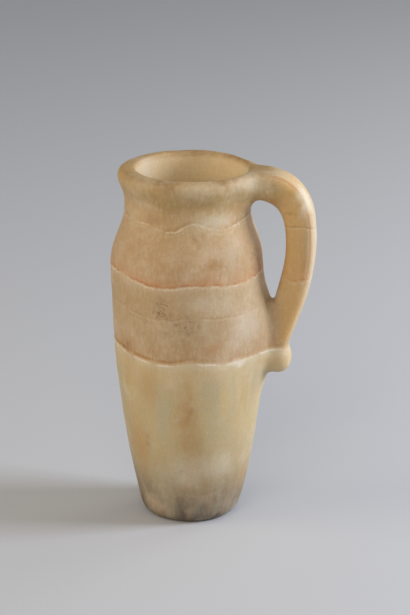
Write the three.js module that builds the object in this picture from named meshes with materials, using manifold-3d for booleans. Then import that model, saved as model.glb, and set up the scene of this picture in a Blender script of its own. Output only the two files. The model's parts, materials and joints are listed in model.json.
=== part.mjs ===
// An alabaster pitcher: a tall tapering body, a short neck with a thick everted lip, and one handle that
// leaves the lip and comes down on the body in a small knob. It is carved from a single block of banded
// calcite, so it is one solid.
//
// Millimetres, +Z up. The origin is the middle of the foot, and the handle is at +X.

import * as THREE from "three";
import { mergeVertices } from "three/addons/utils/BufferGeometryUtils.js";
import Module from "manifold-3d";

const wasm = await Module();
wasm.setup();

// Levels of the body, as the height of each stretch from the foot upwards. They add up to the full height.
const footRoundHeight = 10; // the rounded edge of the foot
const bodyRise = 145; // foot edge to the widest level
const shoulderDrop = 36; // widest level to the break of the shoulder
const shoulderSlope = 22; // break of the shoulder to the waist of the neck
const neckLength = 8; // the straight stretch of the neck
const lipFlare = 13; // neck to the lip's widest level
const lipCrown = 6; // lip's widest level to the edge of the mouth

// Outer radii at those levels.
const footRadius = 25.5; // the flat underside
const footSideRadius = 34.2;
const bodyRadius = 51.2;
const shoulderRadius = 48.6;
const neckRadius = 41.6;
const lipRadius = 45.7;
const mouthRadius = 37.6; // the inner edge of the lip
const lipSquareness = 2.6; // of the lip's crown: 2 is an ellipse, and more is squarer

// Slopes of the outline, as millimetres of radius per millimetre of height.
const footSideSlope = 0.235;
const shoulderBreakSlope = -0.42;

// The hollow.
const bodyWall = 8;
const neckWall = 6.6;
const floorThickness = 14;
const floorCornerRadius = 16;
const throatFlare = 1.6; // how late the neck opens out to the mouth: 1 is straight

// What the carver left uneven.
const lean = 2.6; // how far the mouth stands off the foot's centre, away from the handle
const leanGrowth = 1.4; // 1 is a straight lean, and more bends it towards the top
const footWear = 0.9; // the foot's edge is rounder on the handle's side
const footWearHeight = 24;
const mouthShift = 3.6; // the mouth is cut off centre, towards the handle
const mouthDepthShare = 0.96; // the mouth is a little narrower across the handle's plane
const handleSideHollow = 2; // the shoulder is cut back behind the handle
const handleSideHollowDrop = 18; // break of the shoulder to the deepest of that cut
const handleSideHollowHeight = 22; // its half height
const handleSideHollowAngle = 1; // its half width in radians

// The handle, a bar of rounded section. Its path lies in the XZ plane, and radii are from the foot's centre.
const handleTopDrop = 8.8; // edge of the mouth to the bar's centre line at the lip
const handleLevelRun = 31; // how far the bar's curve is led straight out of the lip
const handleReach = 74; // the centre line's furthest radius
const handleReachDrop = 47; // edge of the mouth to that furthest point
const handleShoulderBend = 26; // how squarely the bar turns down
const handleThickness = 19.6; // in the handle's plane
const handleWidth = 20; // across it
const handleTaper = 0.97; // the bar's size at its lower end, as a share
const handleRootWidth = 34; // where it grows out of the lip
const handleFlareShare = 0.24; // share of the bar's length over which the root narrows
const handleBendThickening = 3.4; // the bar is thickest where it turns down
const handleBendPlace = 0.2; // as a share of the bar's length
const handleBendSpread = 0.14;
const handleLowerBend = 25;
const handleFootLean = 0.36; // radians from upright where the bar meets the body
const barSquareness = 2.5; // of its section

// The knob that ends the handle, and the swellings that tie the handle to the body.
const knobHeight = 111; // foot to the knob's centre
const knobRadial = 11.2;
const knobTangential = 11.4;
const knobVertical = 10.4;
const knobStandOff = 7.2; // body's side to the knob's centre
const knobSquareness = 2.5;
const barEndInset = 3; // knob's centre to the bar's end, towards the body
const barEndRise = 5; // and upwards
const rootSwell = 7.5;
const rootSwellAbove = 29; // knob's centre to where the lower swelling starts to die away
const rootSwellBelow = 3;
const rootSwellFadeAbove = 26;
const rootSwellFadeBelow = 18;
const rootSwellHalfAngle = 0.12;
const rootSwellFadeAngle = 0.5;
const lipSwell = 7;
const lipSwellBelow = 19; // edge of the mouth to the bottom of the upper swelling
const lipSwellFade = 9;
const lipSwellHalfAngle = 0.2;
const lipSwellFadeAngle = 0.5;

// How finely the solid is divided.
const turnSteps = 52;
const sideSteps = { round: 3, body: 14, shoulder: 6, slope: 5, neck: 2, flare: 4, crown: 4 };
const cavitySteps = { corner: 5, side: 16, throat: 5 };
const barSteps = 32;
const barSides = 18;
const knobSteps = { around: 20, upward: 12 };

const stone = new THREE.MeshStandardMaterial({ color: 0xc9ad7f, roughness: 0.45, metalness: 0 });

// Levels above the foot, worked out from the stretches.
const level = {};
level.side = footRoundHeight;
level.widest = level.side + bodyRise;
level.shoulder = level.widest + shoulderDrop;
level.waist = level.shoulder + shoulderSlope;
level.neckTop = level.waist + neckLength;
level.lip = level.neckTop + lipFlare;
level.mouth = level.lip + lipCrown;

const smoothstep = (t) => {
  const s = THREE.MathUtils.clamp(t, 0, 1);
  return s * s * (3 - 2 * s);
};
const bell = (x, halfWidth) => Math.exp(-((x / halfWidth) ** 2));

// 1 near the handle's plane, dying away over fade radians on both sides.
const ridge = (angle, half, fade) => smoothstep(1 - (Math.abs(angle) - half) / fade);

// A cosine or sine bent towards a square corner: 2 leaves it as it is.
const squared = (value, squareness) => Math.sign(value) * Math.abs(value) ** (2 / squareness);

// A cubic between two levels that keeps the radius and the slope at both ends.
function stretch(from, to) {
  const rise = to.z - from.z;
  return (t) => {
    const z = from.z + t * rise;
    const r =
      (2 * t ** 3 - 3 * t ** 2 + 1) * from.r +
      (t ** 3 - 2 * t ** 2 + t) * rise * from.slope +
      (3 * t ** 2 - 2 * t ** 3) * to.r +
      (t ** 3 - t ** 2) * rise * to.slope;
    return new THREE.Vector2(r, z);
  };
}

const stations = {
  side: { z: level.side, r: footSideRadius, slope: footSideSlope },
  widest: { z: level.widest, r: bodyRadius, slope: 0 },
  shoulder: { z: level.shoulder, r: shoulderRadius, slope: shoulderBreakSlope },
  waist: { z: level.waist, r: neckRadius, slope: 0 },
  neckTop: { z: level.neckTop, r: neckRadius, slope: 0 },
  lip: { z: level.lip, r: lipRadius, slope: 0 },
};
const stretches = [
  { curve: stretch(stations.side, stations.widest), steps: sideSteps.body },
  { curve: stretch(stations.widest, stations.shoulder), steps: sideSteps.shoulder },
  { curve: stretch(stations.shoulder, stations.waist), steps: sideSteps.slope },
  { curve: stretch(stations.waist, stations.neckTop), steps: sideSteps.neck },
  { curve: stretch(stations.neckTop, stations.lip), steps: sideSteps.flare },
];

// The outer radius at a height between the foot's edge and the lip.
function sideRadius(z) {
  for (const { curve } of stretches) {
    const low = curve(0).y;
    const high = curve(1).y;
    if (z <= high) return curve(THREE.MathUtils.clamp((z - low) / (high - low), 0, 1)).x;
  }
  return lipRadius;
}

// The quarter of an ellipse from its side (t = 0) to its top (t = 1).
const quarter = (centre, across, up, t, squareness = 2) =>
  new THREE.Vector2(
    centre.x + across * squared(Math.cos((t * Math.PI) / 2), squareness),
    centre.y + up * squared(Math.sin((t * Math.PI) / 2), squareness),
  );

function outerProfile() {
  const points = [new THREE.Vector2(0, 0)];
  const footCorner = new THREE.Vector2(footSideRadius - footSideSlope * footRoundHeight, 0);
  const footEdge = new THREE.QuadraticBezierCurve(
    new THREE.Vector2(footRadius, 0),
    footCorner,
    new THREE.Vector2(footSideRadius, level.side),
  );
  points.push(...footEdge.getPoints(sideSteps.round));
  for (const { curve, steps } of stretches) {
    for (let i = 1; i <= steps; i++) points.push(curve(i / steps));
  }
  const lipCentre = new THREE.Vector2(mouthRadius, level.lip);
  for (let i = 1; i <= sideSteps.crown; i++) {
    const t = i / sideSteps.crown;
    points.push(quarter(lipCentre, lipRadius - mouthRadius, lipCrown, t, lipSquareness));
  }
  points.push(new THREE.Vector2(0, level.mouth));
  return points;
}

// The wall is thinner in the neck than in the body.
function wallAt(z) {
  const inNeck = smoothstep((z - level.shoulder) / shoulderSlope);
  return THREE.MathUtils.lerp(bodyWall, neckWall, inNeck);
}

function cavityProfile() {
  const cornerTop = floorThickness + floorCornerRadius;
  const cornerReach = sideRadius(cornerTop) - bodyWall - floorCornerRadius;
  const corner = new THREE.Vector2(cornerReach, cornerTop);
  const points = [new THREE.Vector2(0, floorThickness)];
  for (let i = 0; i <= cavitySteps.corner; i++) {
    points.push(quarter(corner, floorCornerRadius, -floorCornerRadius, 1 - i / cavitySteps.corner));
  }
  for (let i = 1; i <= cavitySteps.side; i++) {
    const z = THREE.MathUtils.lerp(cornerTop, level.neckTop, i / cavitySteps.side);
    points.push(new THREE.Vector2(sideRadius(z) - wallAt(z), z));
  }
  const bore = points.at(-1).x;
  for (let i = 1; i <= cavitySteps.throat; i++) {
    const t = i / cavitySteps.throat;
    const r = THREE.MathUtils.lerp(bore, mouthRadius, t ** throatFlare);
    points.push(new THREE.Vector2(r, THREE.MathUtils.lerp(level.neckTop, level.mouth, t)));
  }
  const aboveMouth = level.mouth + lipCrown;
  points.push(new THREE.Vector2(mouthRadius, aboveMouth), new THREE.Vector2(0, aboveMouth));
  return points;
}

// Moves every vertex of a geometry by a function of its place.
function reshape(geometry, move) {
  const position = geometry.getAttribute("position");
  const point = new THREE.Vector3();
  for (let i = 0; i < position.count; i++) {
    point.fromBufferAttribute(position, i);
    move(point);
    position.setXYZ(i, point.x, point.y, point.z);
  }
  return geometry;
}

// The turned form leans away from the handle with height.
const leanAt = (z) => -lean * (Math.max(z, 0) / level.mouth) ** leanGrowth;

// From the turned outer form to the carved one: the worn foot, and the swellings where the handle joins.
function carveOutside(point) {
  const radius = Math.hypot(point.x, point.y);
  const angle = Math.atan2(point.y, point.x);
  const z = point.z;
  const aboveKnob = z - knobHeight;
  const lower =
    smoothstep(1 - (aboveKnob - rootSwellAbove) / rootSwellFadeAbove) *
    smoothstep(1 + (aboveKnob + rootSwellBelow) / rootSwellFadeBelow);
  const upper = smoothstep((z - level.mouth + lipSwellBelow + lipSwellFade) / lipSwellFade);
  const hollowLevel = level.shoulder - handleSideHollowDrop;
  let grow = -footWear * Math.cos(angle) * smoothstep(1 - z / footWearHeight);
  grow += rootSwell * lower * ridge(angle, rootSwellHalfAngle, rootSwellFadeAngle);
  grow += lipSwell * upper * ridge(angle, lipSwellHalfAngle, lipSwellFadeAngle);
  grow -=
    handleSideHollow *
    bell(z - hollowLevel, handleSideHollowHeight) *
    bell(angle, handleSideHollowAngle);
  const outward = smoothstep(radius / footRadius);
  const scale = radius > 0 ? (radius + grow * outward) / radius : 1;
  point.x = point.x * scale + leanAt(z);
  point.y *= scale;
}

function carveInside(point) {
  const inThroat = smoothstep((point.z - level.neckTop) / (level.mouth - level.neckTop));
  const depthShare = THREE.MathUtils.lerp(1, mouthDepthShare, inThroat);
  point.x += leanAt(point.z) + mouthShift * inThroat;
  point.y *= depthShare;
}

// A profile in (radius, height) spun about +Z.
function spun(profile) {
  return new THREE.LatheGeometry(profile, turnSteps).rotateX(Math.PI / 2);
}

const knobCentre = () => {
  const x = sideRadius(knobHeight) + leanAt(knobHeight) + knobStandOff;
  return new THREE.Vector3(x, 0, knobHeight);
};

// The bar's centre line: out of the lip, over, and down to the knob.
function handlePath() {
  const top = level.mouth - handleTopDrop;
  const reachLevel = level.mouth - handleReachDrop;
  const start = new THREE.Vector3(neckRadius - neckWall / 2, 0, top);
  const far = new THREE.Vector3(handleReach, 0, reachLevel);
  const knob = knobCentre();
  const end = new THREE.Vector3(knob.x - barEndInset, 0, knob.z + barEndRise);
  const leaning = new THREE.Vector3(Math.sin(handleFootLean), 0, Math.cos(handleFootLean));
  const path = new THREE.CurvePath();
  path.add(
    new THREE.CubicBezierCurve3(
      start,
      new THREE.Vector3(start.x + handleLevelRun, 0, top),
      new THREE.Vector3(handleReach, 0, reachLevel + handleShoulderBend),
      far,
    ),
  );
  path.add(
    new THREE.CubicBezierCurve3(
      far,
      new THREE.Vector3(handleReach, 0, reachLevel - handleLowerBend),
      end.clone().addScaledVector(leaning, handleLowerBend),
      end,
    ),
  );
  return path;
}

// A closed cylinder bent along the path, flared where it leaves the lip.
function handleForm() {
  const path = handlePath();
  const bar = new THREE.CylinderGeometry(1, 1, 1, barSides, barSteps);
  return reshape(bar, (point) => {
    const along = 0.5 - point.y;
    const filled = Math.hypot(point.x, point.z);
    const angle = Math.atan2(point.z, point.x);
    const centre = path.getPointAt(along);
    const forward = path.getTangentAt(along);
    const outward = new THREE.Vector3(forward.z, 0, -forward.x).negate();
    const wide = 1 - smoothstep(along / handleFlareShare);
    const taper = THREE.MathUtils.lerp(1, handleTaper, smoothstep(along));
    const thickening = handleBendThickening * bell(along - handleBendPlace, handleBendSpread);
    const thickness = handleThickness * taper + thickening;
    const width = THREE.MathUtils.lerp(handleWidth * taper, handleRootWidth, wide);
    const across = (filled * squared(Math.cos(angle), barSquareness) * thickness) / 2;
    const sideways = (filled * squared(Math.sin(angle), barSquareness) * width) / 2;
    point.copy(centre).addScaledVector(outward, across);
    point.y = sideways;
  });
}

function knobForm() {
  const ball = new THREE.SphereGeometry(1, knobSteps.around, knobSteps.upward);
  reshape(ball.rotateX(Math.PI / 2), (point) => {
    const flat = Math.hypot(point.x, point.y);
    const turn = Math.atan2(point.y, point.x);
    const rise = Math.atan2(point.z, flat);
    const reach = squared(Math.cos(rise), knobSquareness);
    point.set(
      reach * squared(Math.cos(turn), knobSquareness) * knobRadial,
      reach * squared(Math.sin(turn), knobSquareness) * knobTangential,
      squared(Math.sin(rise), knobSquareness) * knobVertical,
    );
  });
  const centre = knobCentre();
  return ball.translate(centre.x, centre.y, centre.z);
}

// A closed three.js geometry as a solid, turned the right way out.
function solidOf(geometry) {
  const bare = geometry.clone();
  bare.deleteAttribute("normal");
  bare.deleteAttribute("uv");
  const merged = mergeVertices(bare, 1e-4);
  const triVerts = [];
  const index = merged.index.array;
  for (let i = 0; i < index.length; i += 3) {
    const [a, b, c] = index.subarray(i, i + 3);
    if (a !== b && b !== c && a !== c) triVerts.push(a, b, c);
  }
  const build = () =>
    new wasm.Manifold(
      new wasm.Mesh({
        numProp: 3,
        vertProperties: merged.attributes.position.array,
        triVerts: new Uint32Array(triVerts),
      }),
    );
  const solid = build();
  if (solid.volume() > 0) return solid;
  triVerts.reverse();
  return build();
}

function geometryOf(solid) {
  const { vertProperties, triVerts, numProp } = solid.getMesh();
  const positions = new Float32Array((vertProperties.length / numProp) * 3);
  for (let i = 0; i < positions.length / 3; i++) {
    positions.set(vertProperties.subarray(i * numProp, i * numProp + 3), i * 3);
  }
  const geometry = new THREE.BufferGeometry();
  geometry.setAttribute("position", new THREE.BufferAttribute(positions, 3));
  geometry.setIndex(new THREE.BufferAttribute(new Uint32Array(triVerts), 1));
  geometry.computeVertexNormals();
  return geometry;
}

function pitcherMesh() {
  const outside = solidOf(reshape(spun(outerProfile()), carveOutside));
  const hollow = solidOf(reshape(spun(cavityProfile()), carveInside));
  const whole = outside.add(solidOf(handleForm())).add(solidOf(knobForm())).subtract(hollow);
  const mesh = new THREE.Mesh(geometryOf(whole), stone);
  mesh.name = "pitcher";
  return mesh;
}

const model = new THREE.Group();
model.add(pitcherMesh());

export default model;
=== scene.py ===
# %% [markdown]
# An alabaster pitcher, carved from one block of banded calcite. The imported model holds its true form, and
# this file gives it the skin of the real thing: soft joints where the handle grows out of the stone, the
# slight unevenness of hand work, pits, and the coloured layers that run level through the whole block.
# Everything is in metres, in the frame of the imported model, where the handle lies on the side of +x. Sizes
# on the pitcher are written in millimetres and made metres with MM.

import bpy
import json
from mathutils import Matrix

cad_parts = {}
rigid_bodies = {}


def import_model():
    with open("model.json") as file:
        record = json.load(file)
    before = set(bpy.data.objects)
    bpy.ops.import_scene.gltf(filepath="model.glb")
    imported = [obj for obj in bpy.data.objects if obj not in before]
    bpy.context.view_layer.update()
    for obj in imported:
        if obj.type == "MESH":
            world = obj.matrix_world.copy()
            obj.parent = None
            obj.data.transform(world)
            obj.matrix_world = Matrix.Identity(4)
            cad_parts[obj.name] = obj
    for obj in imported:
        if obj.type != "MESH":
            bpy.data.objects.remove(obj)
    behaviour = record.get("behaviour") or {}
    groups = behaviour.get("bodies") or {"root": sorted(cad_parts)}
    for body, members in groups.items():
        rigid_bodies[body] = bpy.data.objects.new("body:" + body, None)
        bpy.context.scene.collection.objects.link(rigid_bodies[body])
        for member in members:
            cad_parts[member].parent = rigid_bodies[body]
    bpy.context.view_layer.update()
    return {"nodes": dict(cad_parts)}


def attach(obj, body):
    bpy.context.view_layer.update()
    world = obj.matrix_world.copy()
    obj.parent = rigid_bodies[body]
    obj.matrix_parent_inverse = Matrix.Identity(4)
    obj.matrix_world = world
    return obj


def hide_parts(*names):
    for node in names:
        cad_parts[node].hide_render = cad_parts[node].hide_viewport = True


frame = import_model()

# %% Get the modules ready
import json
import math
import random
from collections import namedtuple

import bmesh
import bpy
from mathutils import Vector
from mathutils.bvhtree import BVHTree
from mathutils.geometry import interpolate_bezier, intersect_point_line
from mathutils.kdtree import KDTree

MM = 0.001
UP = Vector((0, 0, 1))

# %% [markdown]
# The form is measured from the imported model, so both stay the same pitcher. Radii typed in by hand would
# drift away from it as soon as a size changed. A ray from the axis outwards meets the inside of the wall
# and then its outside. The outside is round at every height away from the handle, so a ray away from the
# handle and one across it give its centre and radius. The inside is a little narrower across, because the
# mouth was opened that way, so it also needs the ray towards the handle.

# %% Measure the wall
PAST_A_FACE = 0.001
NECK_HEIGHT = 216.0
AWAY = Vector((-1, 0, 0))
TOWARDS = Vector((1, 0, 0))
ACROSS = Vector((0, 1, 0))

Ring = namedtuple("Ring", "x wide deep z")


def face_tree(mesh):
    """The faces of a mesh, sorted for rays and distances."""
    return BVHTree.FromPolygons([v.co for v in mesh.vertices], [p.vertices for p in mesh.polygons])


def crossings(height, direction):
    """The distances at which a ray from the axis meets the stone's faces, at a height in mm."""
    on_axis = UP * height * MM
    found = []
    reach = 0.0
    while True:
        hit, _, _, distance = stone.ray_cast(on_axis + direction * reach, direction)
        if hit is None:
            return found
        reach += distance
        found.append(reach)
        reach += PAST_A_FACE * MM


def outside_ring(height):
    """The round outer face at a height in mm."""
    away = crossings(height, AWAY)[-1]
    across = crossings(height, ACROSS)[-1]
    centre = across - away
    radius = math.hypot(across, centre)
    return Ring(radius - away, radius, radius, height * MM)


def inside_ring(height):
    """The oval inner face at a height in mm."""
    away = crossings(height, AWAY)[0]
    towards = crossings(height, TOWARDS)[0]
    across = crossings(height, ACROSS)[0]
    centre = (towards - away) / 2
    wide = (towards + away) / 2
    return Ring(centre, wide, across / math.sqrt(1 - (centre / wide) ** 2), height * MM)


stone = face_tree(frame["nodes"]["pitcher"].data)
neck = outside_ring(NECK_HEIGHT)
neck_wall = neck.deep - inside_ring(NECK_HEIGHT).deep
print("the neck's radius, mm:", round(neck.wide / MM, 1), "its wall:", round(neck_wall / MM, 1))

# %% [markdown]
# The body. A ring that is extruded upwards and scaled at each level follows the outline as the carver's
# template did. The rings stand close where the outline turns, at the foot, the shoulder and the lip, and
# far apart on the long side, where a subdivision surface carries the curve between them. Spinning one
# profile would be quicker, but each of these rings keeps its own centre, as on a body worked by hand.

# %% Raise the outside
AROUND = 48
FOOT_MARGIN = 3.0
FOOT_EDGE_HEIGHT = 0.3
OUTSIDE_LEVELS = [1.6, 4.4, 8.5, 15, 24, 36, 50, 66, 82, 98, 112, 124, 136, 148, 160, 172, 181, 188, 194,
                  199.5, 205, 210.5, 216, 221, 225, 228.5, 231.5, 234.2, 236.6, 238.4, 239.4]


def rest_all():
    """Leaves edit mode and deselects everything."""
    if bpy.context.object and bpy.context.object.mode != "OBJECT":
        bpy.ops.object.mode_set(mode="OBJECT")
    bpy.ops.object.select_all(action="DESELECT")


def move_ring(before, after):
    """Extrudes the selected ring to the next level, then moves and scales it there."""
    shift = (after.x - before.x, 0, after.z - before.z)
    bpy.ops.mesh.extrude_region_move(TRANSFORM_OT_translate={"value": shift})
    scale = (after.wide / before.wide, after.deep / before.deep, 1)
    bpy.ops.transform.resize(value=scale, center_override=(after.x, 0, after.z))
    return after


rest_all()
foot_edge = outside_ring(FOOT_EDGE_HEIGHT)._replace(x=0.0, z=0.0)
flat = foot_edge._replace(wide=foot_edge.wide - FOOT_MARGIN * MM, deep=foot_edge.deep - FOOT_MARGIN * MM)
bpy.ops.mesh.primitive_circle_add(vertices=AROUND, radius=flat.wide, fill_type="TRIFAN")
pitcher = bpy.context.object
pitcher.name = "pitcher_stone"
bpy.ops.object.mode_set(mode="EDIT")
bpy.ops.mesh.select_mode(type="EDGE")
bpy.ops.mesh.select_all(action="DESELECT")
bpy.ops.mesh.select_non_manifold()
ring = move_ring(flat, foot_edge)
for height in OUTSIDE_LEVELS:
    ring = move_ring(ring, outside_ring(height))
print("rings on the outside:", len(OUTSIDE_LEVELS) + 2)

# %% [markdown]
# The hollow was drilled and ground out with a bow drill and sand. From the lip's top ring the same
# extrusion goes over the crown and down the inside to the rounded floor, where the last ring is merged to
# one point. A Solidify modifier would need less work, but it makes one thickness everywhere, and this wall
# is thicker at the lip and at the floor.

# %% Go over the lip and down the inside
RIM_HEIGHT = 240.0
CROWN_OFFSET = 2.0
INSIDE_LEVELS = [239.5, 238, 235, 231, 226, 220, 213, 205, 198, 191, 184, 176, 165, 150, 130, 110, 90, 70,
                 50, 38, 30, 24.5, 20, 17, 15]
HOLLOW_FLOOR = 14.0
FLOOR_RINGS = [0.6, 0.25]

outside_count = len(bmesh.from_edit_mesh(pitcher.data).verts)
mouth = inside_ring(INSIDE_LEVELS[0])
crown = Ring(mouth.x, mouth.wide + CROWN_OFFSET * MM, mouth.deep + CROWN_OFFSET * MM, RIM_HEIGHT * MM)
ring = move_ring(ring, crown)
for height in INSIDE_LEVELS:
    ring = move_ring(ring, inside_ring(height))
floor_edge = ring
for share in FLOOR_RINGS:
    smaller = Ring(floor_edge.x, floor_edge.wide * share, floor_edge.deep * share, HOLLOW_FLOOR * MM)
    ring = move_ring(ring, smaller)
bpy.ops.mesh.merge(type="CENTER")
bpy.ops.mesh.select_all(action="SELECT")
bpy.ops.mesh.normals_make_consistent(inside=False)
bpy.ops.object.mode_set(mode="OBJECT")
print("rings inside:", len(INSIDE_LEVELS) + len(FLOOR_RINGS))

# %% [markdown]
# Stone can't be added, so the carver left it standing wherever the handle meets the body: a low swelling
# down the side under the bar, and a thicker lip where the bar leaves it. Between them the shoulder is cut
# back. Proportional editing could pull them out by hand. A function of angle and height does the same and
# can be set again. Only the rings of the outside are moved, so the hollow stays round. The cage is then
# subdivided twice.

# %% Helpers for soft forms
def take(piece):
    """Makes one object the selected and active one."""
    rest_all()
    piece.select_set(True)
    bpy.context.view_layer.objects.active = piece


def finish_with(piece, kind, **settings):
    """Adds a modifier, sets it and applies it."""
    take(piece)
    bpy.ops.object.modifier_add(type=kind)
    modifier = piece.modifiers[-1]
    for name, value in settings.items():
        setattr(modifier, name, value)
    bpy.ops.object.modifier_apply(modifier=modifier.name)


def smoothstep(t):
    """Climbs from 0 to 1 with t, softly at both ends."""
    s = min(max(t, 0.0), 1.0)
    return s * s * (3 - 2 * s)


def bell(x, half_width):
    """Is 1 in the middle and falls away to both sides."""
    return math.exp(-((x / half_width) ** 2))


# %% Pull out the swellings under the handle
# Amounts, heights and fades are in mm, angles in radians from the handle.
KNOB_HEIGHT = 111.0
Swell = namedtuple("Swell", "amount low high fade_below fade_above half_angle")
SWELLS = [Swell(7.5, KNOB_HEIGHT - 3, KNOB_HEIGHT + 29, 18, 26, 0.12),
          Swell(7.0, 221.0, RIM_HEIGHT, 7, 1, 0.2)]
SWELL_FADE_ANGLE = 0.5
CUT_DEPTH = 2.0
CUT_HEIGHT = 173.0
CUT_HALF_HEIGHT = 22.0
CUT_HALF_ANGLE = 1.0
CAGE_LEVELS = 2


def swelling(angle, height):
    """How far the surface stands out from the round form, in mm."""
    total = -CUT_DEPTH * bell(height - CUT_HEIGHT, CUT_HALF_HEIGHT) * bell(angle, CUT_HALF_ANGLE)
    for swell in SWELLS:
        below = smoothstep(1 - (swell.low - height) / swell.fade_below)
        above = smoothstep(1 - (height - swell.high) / swell.fade_above)
        near = smoothstep(1 - (abs(angle) - swell.half_angle) / SWELL_FADE_ANGLE)
        total += swell.amount * below * above * near
    return total


for vertex in pitcher.data.vertices[:outside_count]:
    radial = Vector((vertex.co.x, vertex.co.y, 0))
    if radial.length > flat.wide:
        angle = math.atan2(radial.y, radial.x)
        vertex.co += radial.normalized() * swelling(angle, vertex.co.z / MM) * MM
finish_with(pitcher, "SUBSURF", levels=CAGE_LEVELS, render_levels=CAGE_LEVELS)
print("faces of the body:", len(pitcher.data.polygons))

# %% [markdown]
# The handle is one bar of soft square section, wider where it grows out of the lip, thickest where it turns
# down, and slightly slimmer at its end. A curve with a bevel would lay such a bar in one go, but its width
# and thickness couldn't change apart. So a square with rounded corners is extruded along the centre line,
# and turned and scaled at every step. The centre line is two smooth curves, which meet where the bar is
# farthest out.

# %% Lay the handle's centre line
REACH = 73.5
REACH_DROP = 48.5
BAR_START = Vector((38.3, 0, 231.6))
START_PULL = Vector((29, 0, 0))
FAR_PULL = Vector((0, 0, 25.5))
END_PULL = Vector((9.8, 0, 25))
END_IN_KNOB = Vector((-3, 0, 5))
KNOB_STANDS_OUT = 7.2
STEPS = 20

side = outside_ring(KNOB_HEIGHT)
knob_centre = Vector((side.x + side.wide + KNOB_STANDS_OUT * MM, 0, KNOB_HEIGHT * MM))
start = BAR_START * MM
far = Vector((REACH, 0, RIM_HEIGHT - REACH_DROP)) * MM
end = knob_centre + END_IN_KNOB * MM
over = interpolate_bezier(start, start + START_PULL * MM, far + FAR_PULL * MM, far, STEPS)
down = interpolate_bezier(far, far - FAR_PULL * MM, end + END_PULL * MM, end, STEPS)
centre_line = over + down[1:]
lengths = [0.0]
for one, two in zip(centre_line, centre_line[1:]):
    lengths.append(lengths[-1] + (two - one).length)
print("the centre line's length, mm:", round(lengths[-1] / MM))

# %% Size the handle's sections
# The bend's place and spread and the root's length are shares of the centre line, the rest is in mm.
BAR_THICK = 19.6
BAR_WIDE = 20.0
ROOT_WIDE = 34.0
ROOT_THINNER = 1.6
ROOT_DEPTH = 40.0
ROOT_LENGTH = 0.24
BEND_THICKER = 2.0
BEND_PLACE = 0.2
BEND_SPREAD = 0.14
END_TAPER = 0.03

Section = namedtuple("Section", "place turn thick wide")
sections = []
for i, place in enumerate(centre_line):
    if place.x < ROOT_DEPTH * MM and i < STEPS:
        continue
    ahead = centre_line[min(i + 1, len(centre_line) - 1)] - centre_line[max(i - 1, 0)]
    share = lengths[i] / lengths[-1]
    taper = 1 - END_TAPER * smoothstep(share)
    at_root = 1 - smoothstep(share / ROOT_LENGTH)
    at_bend = bell(share - BEND_PLACE, BEND_SPREAD)
    thick = BAR_THICK * taper + BEND_THICKER * at_bend - ROOT_THINNER * at_root
    wide = BAR_WIDE * taper + (ROOT_WIDE - BAR_WIDE) * at_root
    turn = math.atan2(ahead.x, ahead.z) % math.tau
    sections.append(Section(place, turn, thick * MM, wide * MM))
print("sections:", len(sections), "from", round(sections[0].wide / MM, 1), "mm wide")

# %% Extrude the handle
CORNER_SHARE = 0.29
BEVEL_STEPS = 6

rest_all()
bpy.ops.mesh.primitive_plane_add(size=1)
bar = bpy.context.object
bar.name = "bar"
bpy.ops.object.mode_set(mode="EDIT")
bpy.ops.mesh.select_all(action="SELECT")
bpy.ops.mesh.bevel(offset=CORNER_SHARE, segments=BEVEL_STEPS, affect="VERTICES")
bpy.ops.mesh.select_mode(type="FACE")
bpy.ops.mesh.select_all(action="SELECT")
first = sections[0]
bpy.ops.transform.resize(value=(first.thick, first.wide, 1), center_override=(0, 0, 0))
# With no window the rotate operator turns the other way, so each turn is given with a minus.
bpy.ops.transform.rotate(value=-first.turn, orient_axis="Y", center_override=(0, 0, 0))
bpy.ops.transform.translate(value=first.place)
for before, after in zip(sections, sections[1:]):
    shift = after.place - before.place
    bpy.ops.mesh.extrude_region_move(TRANSFORM_OT_translate={"value": shift})
    turn = -(after.turn - before.turn)
    bpy.ops.transform.rotate(value=turn, orient_axis="Y", center_override=after.place)
    thicker = after.thick / before.thick
    scale = (thicker, after.wide / before.wide, thicker)
    bpy.ops.transform.resize(value=scale, center_override=after.place)
bpy.ops.mesh.select_all(action="SELECT")
bpy.ops.mesh.normals_make_consistent(inside=False)
bpy.ops.object.mode_set(mode="OBJECT")
print("faces of the bar:", len(bar.data.polygons))

# %% [markdown]
# The handle ends in a knob, a block with its edges worn round, flat enough underneath to show the width of
# the chisel. A squashed sphere would lose that flat, so it is a cube with deep bevels.

# %% Make the knob
KNOB_SIZE = (22.4, 22.8, 19.2)
KNOB_LIFT = 0.8
KNOB_ROUNDING = 7.5

rest_all()
knob_middle = knob_centre + UP * KNOB_LIFT * MM
bpy.ops.mesh.primitive_cube_add(size=1, location=knob_middle, scale=[size * MM for size in KNOB_SIZE])
knob = bpy.context.object
bpy.ops.object.transform_apply(location=True, rotation=True, scale=True)
bpy.ops.object.mode_set(mode="EDIT")
bpy.ops.mesh.select_all(action="SELECT")
bpy.ops.mesh.bevel(offset=KNOB_ROUNDING * MM, segments=BEVEL_STEPS, affect="EDGES")
bpy.ops.object.mode_set(mode="OBJECT")
print("the knob's middle, mm:", [round(v / MM, 1) for v in knob_middle])

# %% [markdown]
# Body, bar and knob are one stone. Joined and rebuilt on a fine grid they become a single skin with no
# faces inside, which can be softened anywhere. A Boolean would keep the long thin faces of all three. The
# skin is softened hardest where two forms meet, which a distance to both of them finds, because there the
# carver's rasp could only leave a hollow curve.

# %% Make it one stone
VOXEL = 1.44
SMOOTHING = 0.5
SKIN_PASSES = 4
JOINT_PASSES = 34
JOINTS_FROM = 32.0
JOINT_FULL = 1.2
JOINT_FADE = 6.0

trees = [face_tree(piece.data) for piece in (pitcher, bar, knob)]
take(pitcher)
bar.select_set(True)
knob.select_set(True)
bpy.ops.object.join()
pitcher.data.remesh_voxel_size = VOXEL * MM
bpy.ops.object.voxel_remesh()

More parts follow.
